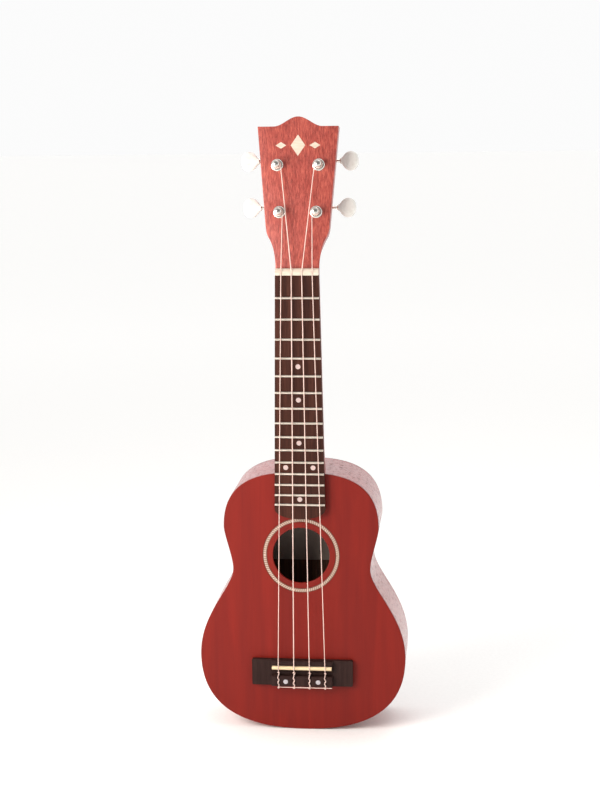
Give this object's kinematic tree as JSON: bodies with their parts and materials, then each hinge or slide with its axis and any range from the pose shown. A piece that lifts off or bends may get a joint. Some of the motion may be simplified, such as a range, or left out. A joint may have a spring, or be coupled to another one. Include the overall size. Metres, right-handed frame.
{
  "type": "ukulele",
  "caption": "Soprano ukulele: hollow waisted body, fretted neck, tie bridge, crown headstock with geared tuners that wind nylon strings.",
  "frame": {"origin": "inside the neck on the centre plane where the head starts to flare, 20 mm above the nut's fretboard end, at the height of a hanger's fork, 10 mm behind the soundboard's plane", "axes": "+Z along the neck towards the head, -Y out of the soundboard towards the player's audience, +Y out of the back, +X to the right seen from the front"},
  "size_m": [0.183, 0.0728, 0.5417],
  "materials": {
    "stained_mahogany": "mahogany with a transparent red stain under a thin satin lacquer, open pores",
    "inner_spruce": "bare planed softwood",
    "rosewood": "oiled, straight dark grain",
    "bone": "polished cream bone substitute",
    "rosette_inlay": "inlaid rope pattern ring, lacquered",
    "label_paper": "plain grey-white paper, glued inside on the back",
    "fret_wire": "polished nickel silver wire",
    "nickel_plate": "bright nickel plate",
    "pearl_plastic": "white moulded plastic, polished",
    "string_nylon": "clear white monofilament"
  },
  "bodies": {
    "root": {"soundboard": "stained_mahogany", "back": "stained_mahogany", "side_left": "stained_mahogany", "side_right": "stained_mahogany", "neck": "stained_mahogany", "top_lining_left": "inner_spruce", "top_lining_right": "inner_spruce", "back_lining_left": "inner_spruce", "back_lining_right": "inner_spruce", "neck_block": "inner_spruce", "tail_block": "inner_spruce", "top_brace_upper": "inner_spruce", "top_brace_lower": "inner_spruce", "back_brace_upper": "inner_spruce", "back_brace_lower": "inner_spruce", "bridge_patch": "inner_spruce", "fretboard": "rosewood", "bridge": "rosewood", "nut": "bone", "saddle": "bone", "rosette": "rosette_inlay", "fret_01": "fret_wire", "fret_02": "fret_wire", "fret_03": "fret_wire", "fret_04": "fret_wire", "fret_05": "fret_wire", "fret_06": "fret_wire", "fret_07": "fret_wire", "fret_08": "fret_wire", "fret_09": "fret_wire", "fret_10": "fret_wire", "fret_11": "fret_wire", "fret_12": "fret_wire", "fret_13": "fret_wire", "fret_14": "fret_wire", "fret_15": "fret_wire", "string_g": "string_nylon", "string_c": "string_nylon", "string_e": "string_nylon", "string_a": "string_nylon", "tuner_plate_upper_left": "nickel_plate", "bushing_upper_left": "nickel_plate", "tuner_plate_upper_right": "nickel_plate", "bushing_upper_right": "nickel_plate", "tuner_plate_lower_left": "nickel_plate", "bushing_lower_left": "nickel_plate", "tuner_plate_lower_right": "nickel_plate", "bushing_lower_right": "nickel_plate"},
    "knob_upper_left": {"worm_shaft_upper_left": "nickel_plate", "button_upper_left": "pearl_plastic"},
    "post_upper_left": {"string_post_upper_left": "nickel_plate"},
    "knob_upper_right": {"worm_shaft_upper_right": "nickel_plate", "button_upper_right": "pearl_plastic"},
    "post_upper_right": {"string_post_upper_right": "nickel_plate"},
    "knob_lower_left": {"worm_shaft_lower_left": "nickel_plate", "button_lower_left": "pearl_plastic"},
    "post_lower_left": {"string_post_lower_left": "nickel_plate"},
    "knob_lower_right": {"worm_shaft_lower_right": "nickel_plate", "button_lower_right": "pearl_plastic"},
    "post_lower_right": {"string_post_lower_right": "nickel_plate"}
  },
  "joints": [
    {"name": "turn_upper_left", "type": "hinge", "parent": "root", "child": "knob_upper_left", "pos_m": [-0.0177, 0.02326, 0.07386], "axis": [1, 0, 0], "continuous": true},
    {"name": "wind_upper_left", "type": "hinge", "parent": "root", "child": "post_upper_left", "pos_m": [-0.0177, 0.0174, 0.06941], "axis": [0, -0.9848, 0.1736], "continuous": true},
    {"name": "turn_upper_right", "type": "hinge", "parent": "root", "child": "knob_upper_right", "pos_m": [0.0177, 0.02326, 0.07386], "axis": [1, 0, 0], "continuous": true},
    {"name": "wind_upper_right", "type": "hinge", "parent": "root", "child": "post_upper_right", "pos_m": [0.0177, 0.0174, 0.06941], "axis": [0, -0.9848, 0.1736], "continuous": true},
    {"name": "turn_lower_left", "type": "hinge", "parent": "root", "child": "knob_lower_left", "pos_m": [-0.01575, 0.01633, 0.03456], "axis": [1, 0, 0], "continuous": true},
    {"name": "wind_lower_left", "type": "hinge", "parent": "root", "child": "post_lower_left", "pos_m": [-0.01575, 0.01047, 0.03011], "axis": [0, -0.9848, 0.1736], "continuous": true},
    {"name": "turn_lower_right", "type": "hinge", "parent": "root", "child": "knob_lower_right", "pos_m": [0.01575, 0.01633, 0.03456], "axis": [1, 0, 0], "continuous": true},
    {"name": "wind_lower_right", "type": "hinge", "parent": "root", "child": "post_lower_right", "pos_m": [0.01575, 0.01047, 0.03011], "axis": [0, -0.9848, 0.1736], "continuous": true}
  ],
  "couplings": [
    {"joint": "wind_upper_left", "follows": "turn_upper_left", "ratio": -0.071429},
    {"joint": "wind_upper_right", "follows": "turn_upper_right", "ratio": 0.071429},
    {"joint": "wind_lower_left", "follows": "turn_lower_left", "ratio": -0.071429},
    {"joint": "wind_lower_right", "follows": "turn_lower_right", "ratio": 0.071429}
  ]
}
